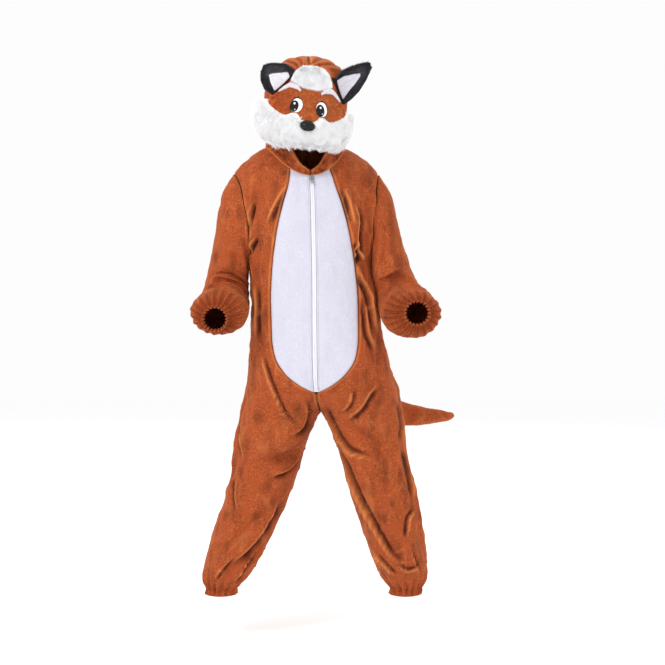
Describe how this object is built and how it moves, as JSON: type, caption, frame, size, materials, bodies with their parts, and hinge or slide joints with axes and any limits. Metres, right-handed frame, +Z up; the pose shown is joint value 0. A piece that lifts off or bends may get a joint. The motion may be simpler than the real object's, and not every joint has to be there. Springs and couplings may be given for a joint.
{
  "type": "hooded fox costume",
  "caption": "Worn one-piece fox costume of brown velour: hollow suit with elastic cuffs, zipped white front, stuffed fox head with ears on the hood, and a tail.",
  "frame": {"origin": "the middle of the neck base, where the wearer carries the suit", "axes": "+Z up, the front faces -Y, the wearer's left is +X"},
  "size_m": [0.6383, 0.4276, 1.3025],
  "materials": {
    "back_left": "rust brown velour, matte with a soft sheen",
    "back_right": "rust brown velour, matte with a soft sheen",
    "brow_left": "white felt",
    "brow_right": "white felt",
    "ear_left": "charcoal plush",
    "ear_lining_left": "white felt",
    "ear_lining_right": "white felt",
    "ear_right": "charcoal plush",
    "eye_left": "white felt",
    "eye_right": "white felt",
    "front_left": "rust brown velour, matte with a soft sheen",
    "front_right": "rust brown velour, matte with a soft sheen",
    "hood_left": "rust brown velour, matte with a soft sheen",
    "hood_right": "rust brown velour, matte with a soft sheen",
    "mask": "orange plush with darker specks",
    "nose": "polished black",
    "pupil_left": "black embroidery with a white glint",
    "pupil_right": "black embroidery with a white glint",
    "ruff": "long white pile",
    "sleeve_left": "rust brown velour, matte with a soft sheen",
    "sleeve_right": "rust brown velour, matte with a soft sheen",
    "tail": "rust brown velour, matte with a soft sheen",
    "tuft": "long white pile",
    "tummy_left": "short white fleece, cool tint",
    "tummy_right": "short white fleece, cool tint",
    "zip_bail": "satin, bright",
    "zip_pull": "satin, bright",
    "zip_slider": "satin, bright",
    "zip_tape": "white woven tape"
  },
  "bodies": {
    "suit": {"back_left": "back_left", "back_right": "back_right", "brow_left": "brow_left", "brow_right": "brow_right", "ear_left": "ear_left", "ear_lining_left": "ear_lining_left", "ear_lining_right": "ear_lining_right", "ear_right": "ear_right", "eye_left": "eye_left", "eye_right": "eye_right", "front_left": "front_left", "front_right": "front_right", "hood_left": "hood_left", "hood_right": "hood_right", "mask": "mask", "nose": "nose", "pupil_left": "pupil_left", "pupil_right": "pupil_right", "ruff": "ruff", "sleeve_left": "sleeve_left", "sleeve_right": "sleeve_right", "tail": "tail", "tuft": "tuft", "tummy_left": "tummy_left", "tummy_right": "tummy_right", "zip_bail": "zip_bail", "zip_slider": "zip_slider", "zip_tape": "zip_tape"},
    "pull_tab": {"zip_pull": "zip_pull"}
  },
  "joints": [
    {"name": "pull_tab_swing", "type": "hinge", "parent": "suit", "child": "pull_tab", "pos_m": [-0.00183, -0.09182, -0.0511], "axis": [-0.991, -0.1342, 0], "range_deg": [0, 120]}
  ]
}
